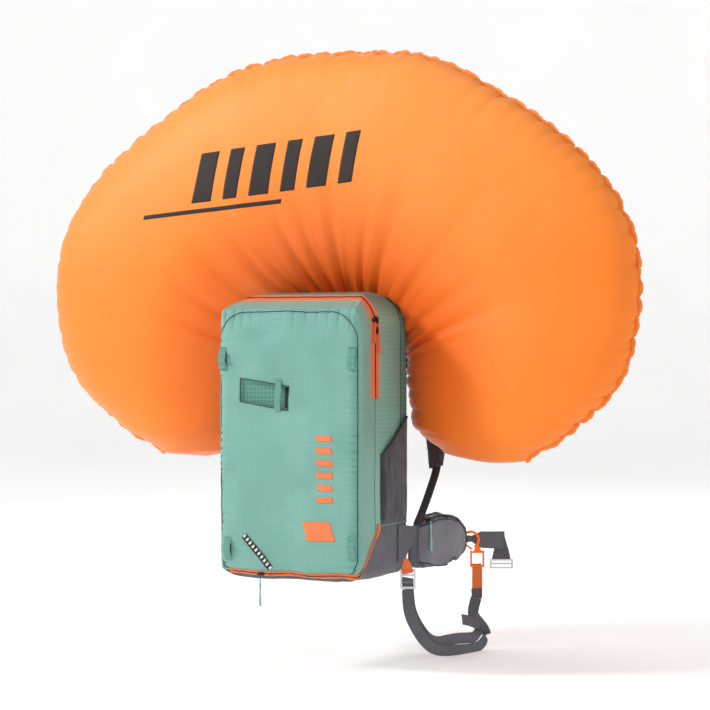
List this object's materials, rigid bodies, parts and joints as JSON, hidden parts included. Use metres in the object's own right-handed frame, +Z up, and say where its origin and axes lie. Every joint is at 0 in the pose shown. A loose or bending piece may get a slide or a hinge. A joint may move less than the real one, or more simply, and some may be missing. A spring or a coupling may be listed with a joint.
{
  "type": "avalanche airbag backpack",
  "caption": "Ski-touring backpack with zipped flap, hip belt and leg strap, its horseshoe avalanche airbag inflated round the top and sides.",
  "frame": {"origin": "centre of the lumbar pad's face, where the pack rests on the wearer's back", "axes": "+Y towards the wearer, +X towards the wearer's right, +Z up"},
  "size_m": [1.3886, 0.6262, 1.2911],
  "materials": {
    "mint_fabric": "matte",
    "green_fabric": "matte",
    "grey_fabric": "matte",
    "stretch_fabric": "matte",
    "zip_tape_orange": "matte",
    "orange_webbing": "matte",
    "grey_webbing": "matte",
    "patterned_webbing": "matte",
    "mint_cord": "matte",
    "orange_cord": "matte",
    "airbag_fabric": "satin",
    "liner_fabric": "matte",
    "padding": "matte",
    "board_plastic": "matte",
    "black_plastic": "satin",
    "orange_plastic": "satin",
    "plain_aluminium": "satin",
    "orange_aluminium": "satin",
    "green_board": "satin",
    "cell_wrap": "satin"
  },
  "bodies": {
    "bag": {"lower_front": "mint_fabric", "ski_loops_lower": "grey_fabric", "main_gusset": "mint_fabric", "main_zip_tape": "zip_tape_orange", "rear_gusset": "mint_fabric", "base_shell": "grey_fabric", "base_zip_tape": "zip_tape_orange", "side_pocket_right": "stretch_fabric", "side_pocket_left": "stretch_fabric", "dividers": "liner_fabric", "back_panel": "board_plastic", "back_pads": "padding", "frame_stays": "plain_aluminium", "harness_yoke": "black_plastic", "tool_strap": "patterned_webbing", "strap_wings": "grey_fabric", "leg_strap_tab": "orange_webbing", "leg_strap": "grey_webbing", "leg_strap_tail": "grey_webbing", "lower_webbing": "grey_webbing", "upper_slider": "black_plastic", "airbag_neck": "airbag_fabric", "airbag": "airbag_fabric", "inflator_housing": "black_plastic", "inflator_cover": "black_plastic", "fan_motor": "plain_aluminium", "supercapacitors": "cell_wrap", "battery_cells": "cell_wrap", "control_board": "green_board"},
    "front_flap": {"front_flap": "mint_fabric", "flap_zip_tape": "zip_tape_orange", "tool_slot": "grey_fabric", "ski_loops_upper": "mint_fabric"},
    "main_slider": {"main_slider": "black_plastic"},
    "main_pull": {"main_pull": "orange_cord"},
    "upper_pull": {"upper_pull": "orange_cord"},
    "base_slider": {"base_slider": "black_plastic"},
    "base_pull": {"base_pull": "mint_cord"},
    "hip_fin_right": {"hip_fin_right": "padding", "hip_pocket_right": "grey_fabric", "hip_webbing_right": "grey_webbing", "hip_buckle": "plain_aluminium", "leg_hook": "orange_aluminium", "leg_strap_end": "orange_webbing"},
    "hip_fin_left": {"hip_fin_left": "padding", "hip_pocket_left": "grey_fabric", "hip_webbing_left": "grey_webbing"},
    "hip_pull_right": {"hip_pull_right": "mint_cord"},
    "hip_pull_left": {"hip_pull_left": "mint_cord"},
    "hook_gate": {"hook_gate": "orange_aluminium"},
    "leg_buckle": {"leg_buckle": "plain_aluminium"},
    "shoulder_strap_right": {"shoulder_strap_right": "padding"},
    "shoulder_strap_left": {"shoulder_strap_left": "padding", "trigger_pouch": "grey_fabric"},
    "sternum_half_right": {"sternum_half_right": "black_plastic"},
    "sternum_half_left": {"sternum_half_left": "black_plastic"},
    "trigger_handle": {"trigger_handle": "orange_plastic"},
    "fan_impeller": {"fan_impeller": "black_plastic"},
    "check_valve": {"check_valve": "board_plastic"},
    "power_switch": {"power_switch": "orange_plastic"}
  },
  "joints": [
    {"name": "front_flap_open", "type": "hinge", "parent": "bag", "child": "front_flap", "pos_m": [0, -0.262, 0.228], "axis": [1, 0, 0], "range_deg": [0, 60]},
    {"name": "main_slider_travel", "type": "slide", "parent": "bag", "child": "main_slider", "axis": [0, 0, -1], "range_m": [0, 0.115]},
    {"name": "main_pull_swing", "type": "hinge", "parent": "main_slider", "child": "main_pull", "pos_m": [0.1724, -0.186, 0.4195], "axis": [0, -1, 0], "range_deg": [0, 120]},
    {"name": "upper_pull_swing", "type": "hinge", "parent": "bag", "child": "upper_pull", "pos_m": [0.1702, -0.199, 0.4405], "axis": [0, -1, 0], "range_deg": [0, 120]},
    {"name": "base_slider_travel", "type": "slide", "parent": "bag", "child": "base_slider", "axis": [1, 0, 0], "range_m": [-0.03, 0.15]},
    {"name": "base_pull_swing", "type": "hinge", "parent": "base_slider", "child": "base_pull", "pos_m": [-0.063, -0.261, -0.086], "axis": [1, 0, 0], "range_deg": [-60, 10]},
    {"name": "hip_fin_right_swing", "type": "hinge", "parent": "bag", "child": "hip_fin_right", "pos_m": [0.156, -0.016, 0], "axis": [0, 0, -1], "range_deg": [-10, 30]},
    {"name": "hip_fin_left_swing", "type": "hinge", "parent": "bag", "child": "hip_fin_left", "pos_m": [-0.156, -0.016, 0], "axis": [0, 0, 1], "range_deg": [-10, 30]},
    {"name": "hip_pull_right_swing", "type": "hinge", "parent": "hip_fin_right", "child": "hip_pull_right", "pos_m": [0.187, 0.038, 0.0225], "axis": [-0.11, -0.9939, 0], "range_deg": [0, 90]},
    {"name": "hip_pull_left_swing", "type": "hinge", "parent": "hip_fin_left", "child": "hip_pull_left", "pos_m": [-0.187, 0.038, 0.0225], "axis": [-0.11, 0.9939, 0], "range_deg": [0, 90]},
    {"name": "hook_gate_swing", "type": "hinge", "parent": "hip_fin_right", "child": "hook_gate", "pos_m": [0.1937, 0.2463, -0.057], "axis": [-0.4384, 0.8988, 0], "range_deg": [0, 12], "stiffness_Nm_per_rad": 0.02, "springref_deg": -28.65},
    {"name": "leg_buckle_swing", "type": "hinge", "parent": "bag", "child": "leg_buckle", "pos_m": [0.165, -0.029, -0.082], "axis": [0.8988, 0.4384, 0], "range_deg": [-12, 12]},
    {"name": "shoulder_strap_right_swing", "type": "hinge", "parent": "bag", "child": "shoulder_strap_right", "pos_m": [0, -0.002, 0.378], "axis": [1, 0, 0], "range_deg": [-8, 10]},
    {"name": "shoulder_strap_left_swing", "type": "hinge", "parent": "bag", "child": "shoulder_strap_left", "pos_m": [0, -0.002, 0.378], "axis": [1, 0, 0], "range_deg": [-8, 10]},
    {"name": "sternum_right_height", "type": "slide", "parent": "shoulder_strap_right", "child": "sternum_half_right", "axis": [0, 0.1903, -0.9817], "range_m": [0, 0.025]},
    {"name": "sternum_left_height", "type": "slide", "parent": "shoulder_strap_left", "child": "sternum_half_left", "axis": [0, 0.1903, -0.9817], "range_m": [0, 0.025]},
    {"name": "trigger_pull", "type": "slide", "parent": "shoulder_strap_left", "child": "trigger_handle", "axis": [0, 0, -1], "range_m": [0, 0.04]},
    {"name": "fan_spin", "type": "hinge", "parent": "bag", "child": "fan_impeller", "pos_m": [0.03, -0.048, 0.362], "axis": [0, 1, 0], "continuous": true},
    {"name": "check_valve_open", "type": "hinge", "parent": "bag", "child": "check_valve", "pos_m": [0, -0.0545, 0.4246], "axis": [1, 0, 0], "range_deg": [0, 64]},
    {"name": "power_switch_travel", "type": "slide", "parent": "bag", "child": "power_switch", "axis": [0, 0, 1], "range_m": [0, 0.008]}
  ],
  "couplings": [
    {"joint": "shoulder_strap_left_swing", "follows": "shoulder_strap_right_swing", "ratio": 1},
    {"joint": "sternum_left_height", "follows": "sternum_right_height", "ratio": 1}
  ]
}
